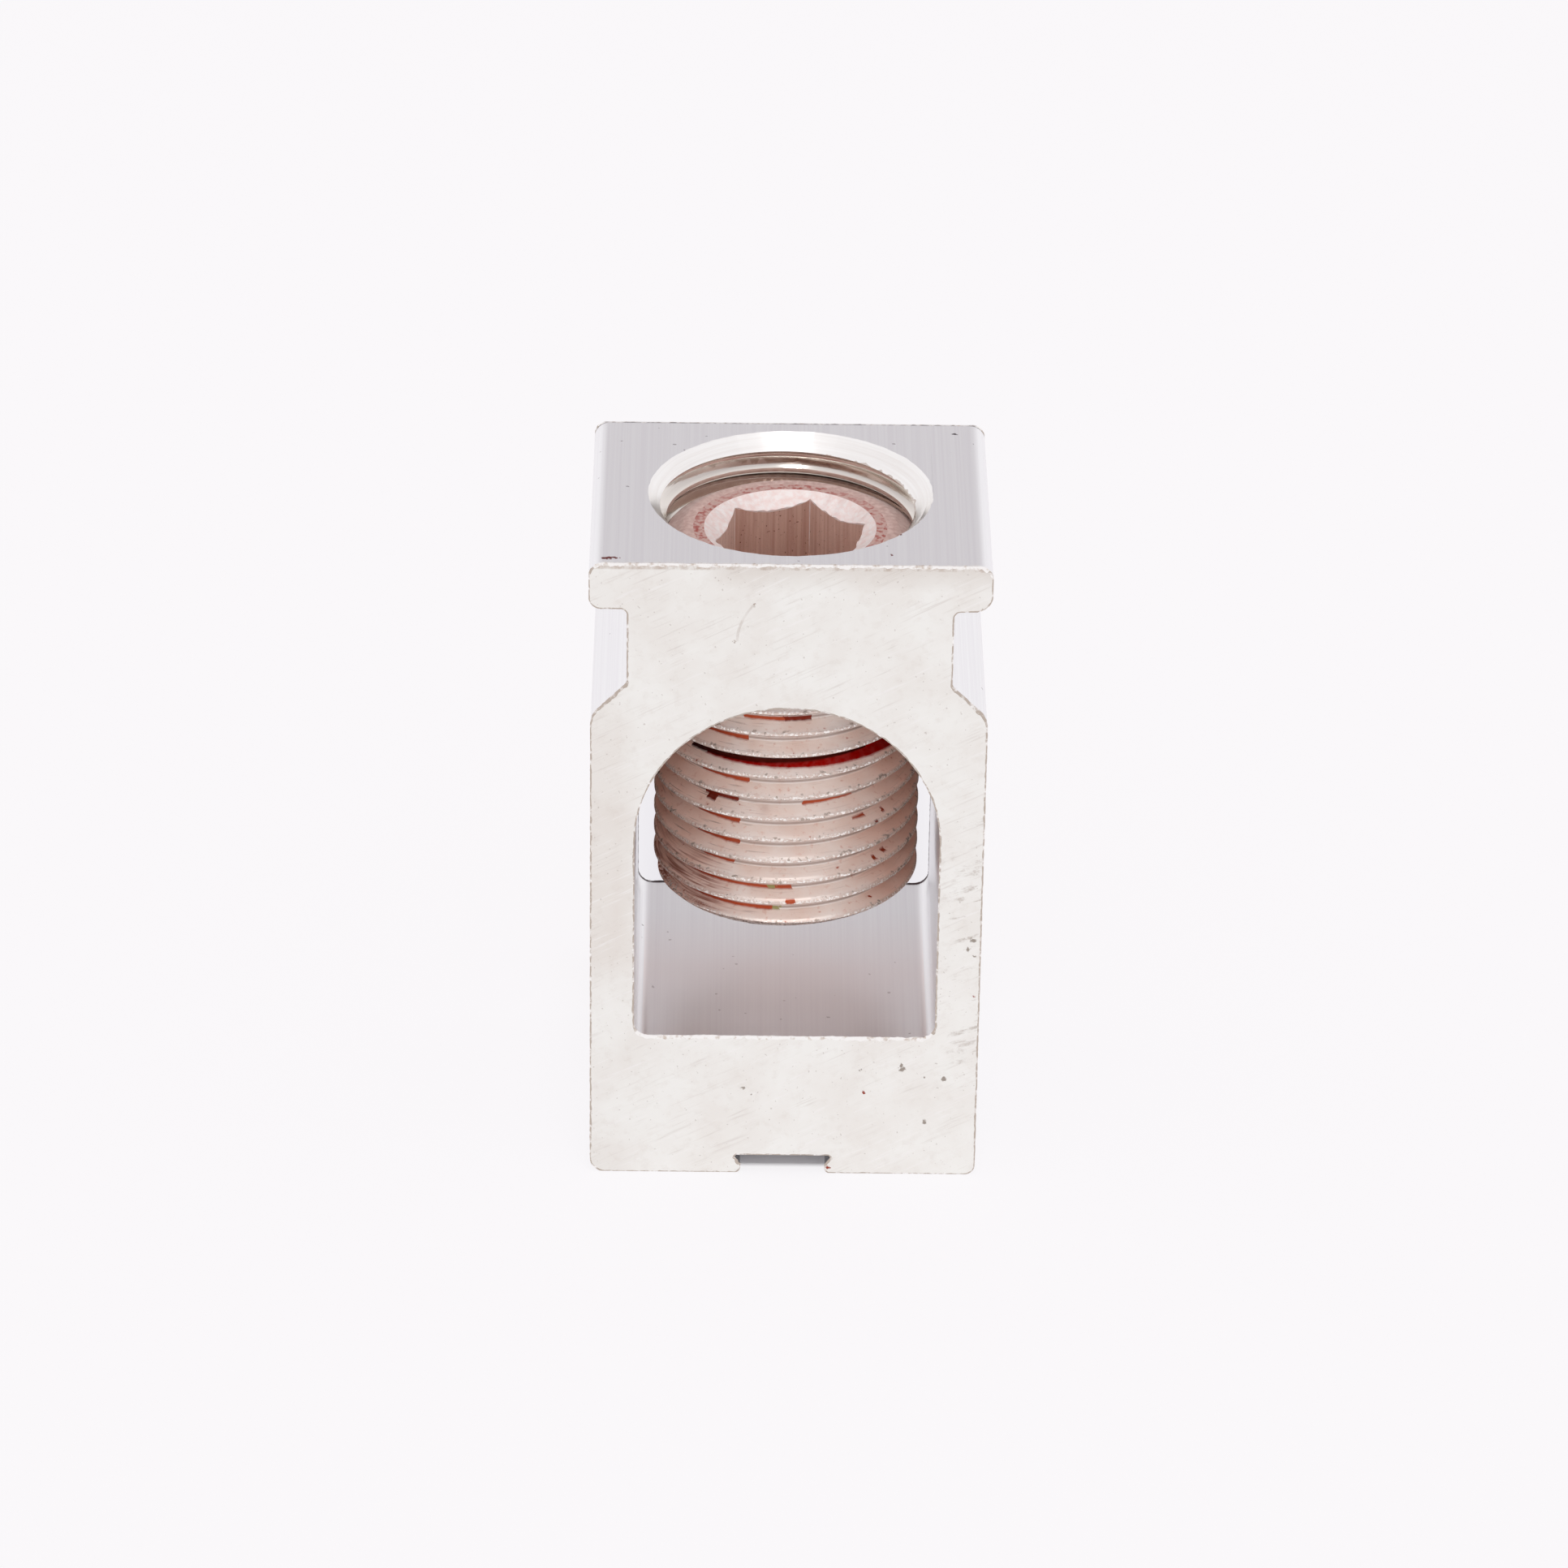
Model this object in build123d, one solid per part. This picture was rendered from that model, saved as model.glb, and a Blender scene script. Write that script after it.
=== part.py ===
from build123d import *

import os
from math import cos, radians, tan

# A mechanical lug for one heavy conductor, in millimetres.
# The lug stands on its base: X is its width, Y the way the conductor runs
# through it and Z its height. The origin is the middle of the base.
# It is two pieces: an extruded, saw-cut aluminium body, and a hex socket
# clamp screw that comes down through its thick top.

# Clamp screw, turned in below the top face: a 5/8-18 thread, its turns drawn as level rings
screw_diameter = 15.875
screw_length = 22.85
screw_recess = 2.25
thread_pitch = 1.4111
thread_depth = 0.8656
thread_crest_width = 0.1764
top_chamfer_width = 1.64
top_chamfer_angle = 30
tip_chamfer = 0.54

# Key socket in the head end of the screw, for a 5/16 inch hex key
socket_across_flats = 7.9375
socket_mouth_chamfer = 0.52
socket_mouth_angle = 35
socket_depth = 9.5
socket_turn = 15
drill_point_angle = 118

# Screw hole through the roof: a plain wall, just clear of the screw's crests
bore_clearance = 0.06
countersink_width = 0.37
countersink_angle = 45

# Least metal left beside the screw, at the saw-cut ends and at the neck
end_wall = 1.5875
neck_wall = 1.5125

# Outer section of the lug body, from the top down
flange_thickness = 2.95
flange_overhang = 2.235
flange_top_radius = 0.92
flange_lip_radius_left = 0.75
flange_lip_radius_right = 1.1
neck_height = 4.85
neck_corner_radius = 0.4
shoulder_width = 2.125
shoulder_angle = 45
shoulder_root_radius = 0.5
shoulder_edge_radius = 1.5
foot_radius_left = 0.9
foot_radius_right = 0.65

# Window for the conductor: flat floor, straight walls beside the screw, half-round arch
window_side_gap = 1.0625
window_floor_height = 9.45
window_wall_height = 13.15
window_floor_radius = 0.9
roof_thickness = 9.35

# Undercut groove along the base, where a retaining strip slides in
slot_mouth_width = 5.1
slot_mouth_radius = 0.35
slot_lip_height = 0.55
slot_undercut = 0.38
slot_undercut_height = 0.55
slot_roof_bevel = 0.15

# Where the pieces meet, worked out from the sizes above
screw_radius = screw_diameter / 2
body_length = screw_diameter + 2 * end_wall
neck_width = screw_diameter + 2 * neck_wall
window_width = screw_diameter + 2 * window_side_gap
window_arch_height = window_floor_height + window_wall_height
body_height = window_arch_height + window_width / 2 + roof_thickness
screw_top = body_height - screw_recess
screw_tip = screw_top - screw_length


def mirrored_face(half):
    """A closed face from the points of its right half, in order from one end to the other."""
    left = [(-x, z) for x, z in reversed(half)]
    return make_face(Polyline(*half, *left, close=True))


def turned(*points):
    """A solid of revolution about the screw's axis from radius and height points."""
    return revolve(Plane.XZ * make_face(Polyline(*points, close=True)), Axis.Z)


def rounded(section, x, z, radius):
    """The section with its corner at x, z rounded."""
    corner = section.vertices().sort_by_distance(Vector(x, z))[0]
    return fillet(corner, radius)


def lug_outline():
    """Outer section of the extrusion: flange, neck, sloped shoulders and legs."""
    neck_edge = neck_width / 2
    leg_edge = neck_edge + shoulder_width
    flange_edge = neck_edge + flange_overhang
    flange_bottom = body_height - flange_thickness
    neck_bottom = flange_bottom - neck_height
    leg_top = neck_bottom - shoulder_width / tan(radians(shoulder_angle))
    corners = [
        (leg_edge, 0, foot_radius_left, foot_radius_right),
        (leg_edge, leg_top, shoulder_edge_radius, shoulder_edge_radius),
        (neck_edge, neck_bottom, shoulder_root_radius, shoulder_root_radius),
        (neck_edge, flange_bottom, neck_corner_radius, neck_corner_radius),
        (flange_edge, flange_bottom, flange_lip_radius_left, flange_lip_radius_right),
        (flange_edge, body_height, flange_top_radius, flange_top_radius),
    ]
    outline = mirrored_face([(x, z) for x, z, _, _ in corners])
    for x, z, left_radius, right_radius in corners:
        outline = rounded(outline, -x, z, left_radius)
        outline = rounded(outline, x, z, right_radius)
    return outline


def conductor_window():
    """Section of the window, with small radii where its walls meet its floor."""
    walls = Pos(0, window_floor_height) * Rectangle(
        window_width, window_wall_height, align=(Align.CENTER, Align.MIN)
    )
    window = walls + Pos(0, window_arch_height) * Circle(window_width / 2)
    for side in (-1, 1):
        window = rounded(window, side * window_width / 2, window_floor_height, window_floor_radius)
    return window


def base_slot():
    """Section of the groove in the base: a straight mouth, then an undercut to its roof."""
    mouth = slot_mouth_width / 2
    root = mouth + slot_undercut
    root_height = slot_lip_height + slot_undercut_height
    return mirrored_face(
        [
            (mouth, 0),
            (mouth, slot_lip_height),
            (root, root_height),
            (root - slot_roof_bevel, root_height + slot_roof_bevel),
        ]
    )


def lug_body():
    """The extrusion, cut to length, with the countersunk screw hole down to the window."""
    section = lug_outline() - conductor_window() - base_slot()
    for side in (-1, 1):
        section = rounded(section, side * slot_mouth_width / 2, 0, slot_mouth_radius)
    bar = extrude(Plane.XZ * section, amount=body_length / 2, both=True)
    bore_radius = screw_radius + bore_clearance
    sink_depth = countersink_width / tan(radians(countersink_angle))
    screw_hole = turned(
        (0, window_arch_height),
        (bore_radius, window_arch_height),
        (bore_radius, body_height - sink_depth),
        (bore_radius + countersink_width, body_height),
        (0, body_height),
    )
    return bar - screw_hole


def thread_rings(low, high):
    """Profile points of vee grooves a pitch apart, with a crest at low and one up to high."""
    root_radius = screw_radius - thread_depth
    points = []
    for groove in range(int((high - low - thread_crest_width) / thread_pitch)):
        crest = low + groove * thread_pitch
        groove_low = crest + thread_crest_width
        groove_high = crest + thread_pitch
        points += [
            (screw_radius, crest),
            (screw_radius, groove_low),
            (root_radius, (groove_low + groove_high) / 2),
        ]
    return [*points, (screw_radius, groove_high), (screw_radius, high)]


def screw_blank():
    """The screw's shank: flat tip with a 45 degree chamfer, thread, and a gently sloped top."""
    top_flat_radius = screw_radius - top_chamfer_width
    slope_depth = top_chamfer_width * tan(radians(top_chamfer_angle))
    return turned(
        (0, screw_tip),
        (screw_radius - tip_chamfer, screw_tip),
        *thread_rings(screw_tip + tip_chamfer, screw_top - slope_depth),
        (top_flat_radius, screw_top),
        (0, screw_top),
    )


def hex_socket():
    """The key socket: a hexagon with a drill point below and a countersunk mouth above."""
    flat_radius = socket_across_flats / 2
    corner_radius = flat_radius / cos(radians(30))
    mouth_radius = corner_radius + socket_mouth_chamfer
    floor = screw_top - socket_depth
    point_depth = flat_radius / tan(radians(drill_point_angle / 2))
    mouth_depth = mouth_radius * tan(radians(socket_mouth_angle))
    hexagon = Rot(0, 0, socket_turn) * RegularPolygon(corner_radius, 6)
    socket = extrude(Pos(0, 0, floor) * hexagon, amount=socket_depth)
    socket += turned((0, floor - point_depth), (flat_radius, floor), (0, floor))
    socket += turned((0, screw_top - mouth_depth), (mouth_radius, screw_top), (0, screw_top))
    return socket


def clamp_screw():
    """The hex socket set screw."""
    return screw_blank() - hex_socket()


os.makedirs("parts", exist_ok=True)
for name, solid in (("lug_body", lug_body()), ("clamp_screw", clamp_screw())):
    export_step(solid, f"parts/{name}.step")
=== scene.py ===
import math

import bmesh
import bpy
from mathutils import Matrix, Vector, noise


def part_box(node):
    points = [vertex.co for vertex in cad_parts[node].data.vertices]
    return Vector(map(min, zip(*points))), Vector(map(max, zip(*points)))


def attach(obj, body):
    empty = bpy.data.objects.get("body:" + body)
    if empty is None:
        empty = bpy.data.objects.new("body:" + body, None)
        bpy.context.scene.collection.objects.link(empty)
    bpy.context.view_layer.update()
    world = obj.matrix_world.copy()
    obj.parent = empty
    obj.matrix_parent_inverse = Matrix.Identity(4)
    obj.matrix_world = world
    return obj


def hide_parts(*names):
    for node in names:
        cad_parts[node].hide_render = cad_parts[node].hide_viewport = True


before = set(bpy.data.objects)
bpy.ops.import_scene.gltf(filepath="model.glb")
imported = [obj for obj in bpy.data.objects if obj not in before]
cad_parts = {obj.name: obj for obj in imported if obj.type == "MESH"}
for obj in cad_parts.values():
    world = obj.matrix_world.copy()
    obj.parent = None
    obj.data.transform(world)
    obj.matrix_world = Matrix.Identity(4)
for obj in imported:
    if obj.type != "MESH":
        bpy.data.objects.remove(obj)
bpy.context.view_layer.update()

# The lug body is one length of tin-plated aluminium extrusion, sawn off at both ends.
# It is drilled from above, countersunk and tapped for the clamp screw. The saw leaves
# dull warm-white ends with torn, sparkling edges, and the extruded sides stay smooth.

mm = 0.001
body_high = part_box("lug_body")[1] / mm
screw_low, screw_high = [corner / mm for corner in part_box("clamp_screw")]
flange_edge = body_high.x
top_face = body_high.z
saw_face = body_high.y
screw_tip = screw_low.z
screw_top = screw_high.z
screw_radius = screw_high.x

flange_bottom = top_face - 2.95
neck_bottom = flange_bottom - 4.85
neck_edge = flange_edge - 2.235
leg_edge = neck_edge + 2.125
leg_top = neck_bottom - 2.125
window_half = 9.0
window_floor = 9.45
window_arch = top_face - 9.35 - window_half
floor_corner = 0.9
foot_radius_left, foot_radius_right = 0.9, 0.65
flange_lip_left, flange_lip_right = 0.75, 1.1

# The groove along the base: half widths of its mouth and its undercut, and their heights
slot_mouth, slot_lip = 2.55, 0.55
slot_root, slot_undercut_top = 2.93, 1.1
slot_bevel, slot_roof = 0.15, 1.25

# No torn lip of a saw cut reaches further than this from its edge
burr_reach = 0.3

# Thread of 18 turns to the inch; its crests pass the front at these heights
thread_pitch = 25.4 / 18
thread_depth = 0.61343 * thread_pitch
crest_height = screw_tip + 0.46
tapped_radius = 7.3
countersink_radius = 8.37


def round_corners(corners, spacing=0.15):
    """Points close together along a closed outline of (x, z, radius) corners."""
    stops = []
    befores, afters = corners[-1:] + corners, corners[1:] + corners[:1]
    for before, (x, z, radius), after in zip(befores, corners, afters):
        corner = Vector((x, z))
        back = (Vector(before[:2]) - corner).normalized()
        ahead = (Vector(after[:2]) - corner).normalized()
        half = back.angle(ahead) / 2
        centre = corner + (back + ahead).normalized() * (radius / math.sin(half))
        start = corner + back * (radius / math.tan(half))
        end = corner + ahead * (radius / math.tan(half))
        stops.append(start)
        if radius:
            sweep = (start - centre).angle_signed(end - centre)
            for step in range(1, 9):
                stops.append(centre + Matrix.Rotation(-sweep * step / 8, 2) @ (start - centre))
    points = []
    for here, there in zip(stops, stops[1:] + stops[:1]):
        count = max(1, math.ceil((there - here).length / spacing))
        points += [here.lerp(there, step / count) for step in range(count)]
    return [p for p, q in zip(points, points[1:] + points[:1]) if (p - q).length > 1e-4]


def outer_outline():
    """The extrusion's outer section, anticlockwise seen from the front."""
    right = [
        (slot_root - slot_bevel, slot_roof, 0.06),
        (slot_root, slot_undercut_top, 0.06),
        (slot_mouth, slot_lip, 0.1),
        (slot_mouth, 0, 0.35),
        (leg_edge, 0, foot_radius_right),
        (leg_edge, leg_top, 1.5),
        (neck_edge, neck_bottom, 0.5),
        (neck_edge, flange_bottom, 0.4),
        (flange_edge, flange_bottom, flange_lip_right),
        (flange_edge, top_face, 0.92),
    ]
    left_radius = {foot_radius_right: foot_radius_left, flange_lip_right: flange_lip_left}
    left = [(-x, z, left_radius.get(radius, radius)) for x, z, radius in reversed(right)]
    return round_corners(right + left)


def window_outline():
    """The window's section, clockwise seen from the front: half-round arch, walls and floor."""
    arch = []
    for step in range(49):
        angle = math.pi * step / 48
        arch.append((-window_half * math.cos(angle), window_arch + window_half * math.sin(angle), 0))
    right_corner = (window_half, window_floor, floor_corner)
    left_corner = (-window_half, window_floor, floor_corner)
    return round_corners(arch + [right_corner, left_corner])


def ragged(point, seed, fineness=1.0):
    """An uneven number between about 0 and 1 that stays the same at a point of the edge."""
    coarse = noise.noise(Vector((point.x * 1.1, point.y * 1.1, seed)))
    fine = noise.noise(Vector((point.x * 3.6 * fineness, point.y * 3.6 * fineness, seed + 7)))
    return min(1, max(0, 0.5 + 0.45 * coarse + 0.6 * fine))


def saw_cut_bar():
    """The sawn length of extrusion, with a torn lip round the edges of both its ends."""
    bm = bmesh.new()
    ends = {-1: [], 1: []}
    for outline in (outer_outline(), window_outline()):
        count = len(outline)
        rings = {-1: [], 1: []}
        for side in (-1, 1):
            torn, lip, full = [], [], []
            for i, point in enumerate(outline):
                along = outline[(i + 1) % count] - outline[i - 1]
                inward = Vector((-along.y, along.x)).normalized()
                # The saw leaves its thickest burr on the edges that face up, and bends it outwards
                facing_up = max(0, -inward.y)
                wide = 0.08 + 0.12 * facing_up
                back = wide * (0.35 + ragged(point, 11 * side))
                curl = 0.01 + (0.03 + 0.06 * facing_up) * ragged(point, 17 * side, 2.2)
                depth = wide * (0.35 + ragged(point, 23 * side, 1.4))
                inset = point + inward * back
                bent = point - inward * curl
                bent.x = min(flange_edge, max(-flange_edge, bent.x))
                bent.y = min(top_face, max(0, bent.y))
                torn.append(bm.verts.new((inset.x, side * saw_face, inset.y)))
                lip.append(bm.verts.new((bent.x, side * (saw_face - depth * 0.3), bent.y)))
                full.append(bm.verts.new((point.x, side * (saw_face - depth), point.y)))
            rings[side] = [torn, lip, full]
            ends[side] += [bm.edges.new((torn[i - 1], torn[i])) for i in range(count)]
        sequence = rings[-1] + rings[1][::-1]
        for ring, following in zip(sequence, sequence[1:]):
            for i in range(count):
                bm.faces.new((ring[i - 1], ring[i], following[i], following[i - 1]))
    for side in (-1, 1):
        bmesh.ops.triangle_fill(bm, use_beauty=True, edges=ends[side], normal=(0, side, 0))
    bmesh.ops.recalc_face_normals(bm, faces=bm.faces)
    bm.transform(Matrix.Scale(mm, 4))
    mesh = bpy.data.meshes.new("saw_cut_bar")
    bm.to_mesh(mesh)
    bm.free()
    return mesh_object("saw_cut_bar", mesh)


def mesh_object(name, mesh):
    """A new object for a mesh, in the scene."""
    piece = bpy.data.objects.new(name, mesh)
    bpy.context.scene.collection.objects.link(piece)
    return piece


# The kinds of node that the finishes and the thread are mostly made of
MATH, MIX = "ShaderNodeMath", "ShaderNodeMix"
RANGE, NOISE = "ShaderNodeMapRange", "ShaderNodeTexNoise"


def add(tree, kind, *values, **named):
    """Adds a node and gives back its outputs in use.

    Input values and links come in the inputs' own order, or by their capitalised names,
    and the node's settings come by their lower-case names.
    """
    node = tree.nodes.new(kind)
    for name, value in named.items():
        if name.islower():
            setattr(node, name, value)
    inputs = [socket for socket in node.inputs if socket.enabled]
    given = list(zip(inputs, values))
    for name, value in named.items():
        if not name.islower():
            given.append((next(s for s in inputs if s.name == name.replace("_", " ")), value))
    for socket, value in given:
        if isinstance(value, bpy.types.NodeSocket):
            tree.links.new(value, socket)
        elif value is not None:
            socket.default_value = value
    return [socket for socket in node.outputs if socket.enabled]


def thread_tree():
    """A closed threaded rod about the Z axis, made of rows of points that follow the helix."""
    tree = bpy.data.node_groups.new("threaded_rod", "GeometryNodeTree")
    sizes = {
        "Crest Radius": 7.9375 * mm,
        "Depth": 0.866 * mm,
        "Pitch": thread_pitch * mm,
        "Low": 0.0,
        "High": 20 * mm,
        "Crest Height": 0.0,
        "Tip Chamfer": 0.0,
        "Top Chamfer Width": 0.0,
        "Top Chamfer Slope": 1.0,
        "Wear": 0.0,
    }
    tree.interface.new_socket("Geometry", in_out="OUTPUT", socket_type="NodeSocketGeometry")
    for name, value in sizes.items():
        socket = tree.interface.new_socket(name, in_out="INPUT", socket_type="NodeSocketFloat")
        socket.default_value = value
    tree.interface.new_socket("Around", in_out="INPUT", socket_type="NodeSocketInt")
    tree.interface.new_socket("Rows per Pitch", in_out="INPUT", socket_type="NodeSocketInt")
    tree.interface.new_socket("Material", in_out="INPUT", socket_type="NodeSocketMaterial")
    sockets = add(tree, "NodeGroupInput")
    crest, depth, pitch, low, high, crest_at, tip_chamfer, top_width, top_slope, wear = sockets[:10]
    around, per_pitch, material = sockets[10:13]

    # The rows start two pitches below the low end, and run a pitch or more past the high end
    length = add(tree, MATH, high, low, operation="SUBTRACT")[0]
    turns = add(tree, MATH, length, pitch, operation="DIVIDE")[0]
    span = add(tree, MATH, turns, 3.0, operation="ADD")[0]
    rows = add(tree, MATH, span, per_pitch, operation="MULTIPLY")[0]
    whole_rows = add(tree, MATH, rows, operation="CEIL")[0]
    rise_turns = add(tree, MATH, whole_rows, per_pitch, operation="DIVIDE")[0]
    rise = add(tree, MATH, rise_turns, pitch, operation="MULTIPLY")[0]
    columns = add(tree, MATH, around, 1.0, operation="ADD")[0]
    row_points = add(tree, MATH, whole_rows, 1.0, operation="ADD")[0]
    grid = add(tree, "GeometryNodeMeshGrid", 1.0, 1.0, columns, row_points)[0]
    place = add(tree, "GeometryNodeInputPosition")[0]
    flat = add(tree, "ShaderNodeSeparateXYZ", place)
    u = add(tree, MATH, flat[0], 0.5, operation="ADD")[0]
    v = add(tree, MATH, flat[1], 0.5, operation="ADD")[0]
    start = add(tree, MATH, pitch, -2.0, low, operation="MULTIPLY_ADD")[0]
    lifted = add(tree, MATH, u, pitch, start, operation="MULTIPLY_ADD")[0]
    free = add(tree, MATH, v, rise, lifted, operation="MULTIPLY_ADD")[0]
    above = add(tree, MATH, free, low, operation="MAXIMUM")[0]
    height = add(tree, MATH, above, high, operation="MINIMUM")[0]

    # Distance from the nearest crest in pitches: 0 on a crest and 0.5 in a root
    from_first = add(tree, MATH, height, crest_at, operation="SUBTRACT")[0]
    climbed = add(tree, MATH, from_first, pitch, operation="DIVIDE")[0]
    phase = add(tree, MATH, climbed, u, operation="SUBTRACT")[0]
    wrapped = add(tree, MATH, phase, 0.5, -0.5, operation="WRAP")[0]
    off_crest = add(tree, MATH, wrapped, operation="ABSOLUTE")[0]
    crest_side, root_side = 0.0625, 0.4167
    straight = add(tree, RANGE, off_crest, crest_side, root_side)[0]
    eased = add(tree, RANGE, off_crest, crest_side, root_side, interpolation_type="SMOOTHSTEP")[0]
    flank = add(tree, MIX, 0.3, straight, eased)[0]
    sunk = add(tree, MATH, flank, depth, operation="MULTIPLY")[0]
    vee = add(tree, MATH, crest, sunk, operation="SUBTRACT")[0]

    # The ends are turned: a 45 degree chamfer at the tip, and a sloped top
    tip_flat = add(tree, MATH, crest, tip_chamfer, operation="SUBTRACT")[0]
    from_low = add(tree, MATH, height, low, operation="SUBTRACT")[0]
    tip = add(tree, MATH, tip_flat, from_low, operation="ADD")[0]
    top_flat = add(tree, MATH, crest, top_width, operation="SUBTRACT")[0]
    to_high = add(tree, MATH, high, height, operation="SUBTRACT")[0]
    top = add(tree, MATH, to_high, top_slope, top_flat, operation="MULTIPLY_ADD")[0]
    with_tip = add(tree, MATH, vee, tip, operation="MINIMUM")[0]
    ended = add(tree, MATH, with_tip, top, operation="MINIMUM")[0]

    # Past either end the rows draw in to the axis and close the rod
    beyond = add(tree, MATH, free, height, operation="SUBTRACT")[0]
    over = add(tree, MATH, beyond, operation="ABSOLUTE")[0]
    in_pitches = add(tree, MATH, over, pitch, operation="DIVIDE")[0]
    shrink = add(tree, MATH, in_pitches, -1 / 0.9, 1.0, operation="MULTIPLY_ADD", use_clamp=True)[0]

    # Knocks and wear pit the crests most and the roots least
    angle = add(tree, MATH, u, math.tau, -math.pi / 2, operation="MULTIPLY_ADD")[0]
    east = add(tree, MATH, angle, operation="COSINE")[0]
    north = add(tree, MATH, angle, operation="SINE")[0]
    level = add(tree, MATH, height, 400.0, operation="MULTIPLY")[0]
    round_place = add(tree, "ShaderNodeCombineXYZ", east, north, level)[0]
    knocks = add(tree, NOISE, round_place, Scale=11.0, Detail=3.0)[0]
    knock = add(tree, MATH, knocks, 0.62, operation="SUBTRACT")[0]
    worn_off = add(tree, MATH, knock, 0.0, operation="MAXIMUM")[0]
    on_crest = add(tree, MATH, 1.0, flank, operation="SUBTRACT")[0]
    bite = add(tree, MATH, worn_off, on_crest, operation="MULTIPLY")[0]
    loss = add(tree, MATH, bite, wear, operation="MULTIPLY")[0]
    worn = add(tree, MATH, ended, loss, operation="SUBTRACT")[0]
    radius = add(tree, MATH, worn, shrink, operation="MULTIPLY")[0]
    x = add(tree, MATH, radius, east, operation="MULTIPLY")[0]
    y = add(tree, MATH, radius, north, operation="MULTIPLY")[0]
    target = add(tree, "ShaderNodeCombineXYZ", x, y, height)[0]
    shaped = add(tree, "GeometryNodeSetPosition", grid, None, target)[0]
    welded = add(tree, "GeometryNodeMergeByDistance", shaped, Distance=0.002 * mm)[0]
    real = add(tree, "GeometryNodeRealizeInstances", welded)[0]
    painted = add(tree, "GeometryNodeSetMaterial", real, Material=material)[0]
    add(tree, "NodeGroupOutput", painted)
    return tree


def from_tree(name, tree, values):
    """A plain mesh object made by a geometry tree with these input values."""
    maker = mesh_object(name + "_maker", bpy.data.meshes.new(name + "_maker"))
    modifier = maker.modifiers.new("tree", "NODES")
    modifier.node_group = tree
    for item in tree.interface.items_tree:
        if item.in_out == "INPUT" and item.name in values:
            modifier[item.identifier] = values[item.name]
    evaluated = maker.evaluated_get(bpy.context.evaluated_depsgraph_get())
    made = bpy.data.meshes.new_from_object(evaluated)
    bpy.data.objects.remove(maker)
    made.name = name
    bm = bmesh.new()
    bm.from_mesh(made)
    bmesh.ops.remove_doubles(bm, verts=bm.verts, dist=0.001 * mm)
    bmesh.ops.dissolve_degenerate(bm, edges=bm.edges, dist=0.0005 * mm)
    bmesh.ops.recalc_face_normals(bm, faces=bm.faces)
    bm.to_mesh(made)
    bm.free()
    return mesh_object(name, made)


def turned(name, points, steps=144):
    """A closed solid of revolution about Z from (radius, height) points that start and end on it."""
    bm = bmesh.new()
    rings = []
    for radius, height in points:
        ring = []
        for step in range(steps if radius else 1):
            angle = math.tau * step / steps
            x, y = radius * math.cos(angle), radius * math.sin(angle)
            ring.append(bm.verts.new((x * mm, y * mm, height * mm)))
        rings.append(ring)
    for ring, following in zip(rings, rings[1:]):
        for i in range(steps):
            near = [ring[i - 1], ring[i]] if len(ring) > 1 else ring
            far = [following[i], following[i - 1]] if len(following) > 1 else following
            bm.faces.new(near + far)
    bmesh.ops.recalc_face_normals(bm, faces=bm.faces)
    mesh = bpy.data.meshes.new(name)
    bm.to_mesh(mesh)
    bm.free()
    return mesh_object(name, mesh)


def cut(piece, *cutters):
    """Cuts closed solids out of a piece, and takes the cutters away."""
    for cutter in cutters:
        modifier = piece.modifiers.new("cut", "BOOLEAN")
        modifier.operation = "DIFFERENCE"
        modifier.solver = "EXACT"
        modifier.object = cutter
        evaluated = piece.evaluated_get(bpy.context.evaluated_depsgraph_get())
        result = bpy.data.meshes.new_from_object(evaluated)
        piece.modifiers.clear()
        piece.data = result
        bpy.data.objects.remove(cutter)


# The tap's crests clear the screw's, so that the two threads don't touch
tap_radius = screw_radius + 0.04
rod_tree = thread_tree()
lug = saw_cut_bar()
lug.name = "tinned_lug_body"
tap = from_tree(
    "tap",
    rod_tree,
    {
        "Crest Radius": tap_radius * mm,
        "Depth": (tap_radius - tapped_radius) * mm,
        "Low": (window_arch - 2) * mm,
        "High": (top_face + 1) * mm,
        "Crest Height": crest_height * mm,
        "Around": 144,
        "Rows per Pitch": 18,
    },
)
sink_inside = 0.6
sink_low = top_face - (countersink_radius - tapped_radius) - sink_inside
countersink = turned(
    "countersink",
    [
        (0, sink_low),
        (tapped_radius - sink_inside, sink_low),
        (countersink_radius + 1, top_face + 1),
        (0, top_face + 1),
    ],
)
cut(lug, tap, countersink)
lug.data.name = "tinned_lug_body"


def linear(hex_colour):
    """An sRGB hex colour as the linear colour that a shader takes."""
    parts = [int(hex_colour[i : i + 2], 16) / 255 for i in (1, 3, 5)]
    return [p / 12.92 if p < 0.04045 else ((p + 0.055) / 1.055) ** 2.4 for p in parts] + [1]


def new_metal(name, roughness):
    """A new metal material's node tree, with its place in millimetres, and its shader's node."""
    material = bpy.data.materials.new(name)
    material.use_nodes = True
    tree = material.node_tree
    tree.nodes.clear()
    place = add(tree, "ShaderNodeTexCoord")[3]
    in_mm = add(tree, "ShaderNodeVectorMath", place, Scale=1 / mm, operation="SCALE")[0]
    surface = add(tree, "ShaderNodeBsdfPrincipled", Metallic=1.0, Roughness=roughness)[0]
    add(tree, "ShaderNodeOutputMaterial", surface)
    return material, tree, in_mm, surface.node


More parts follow.
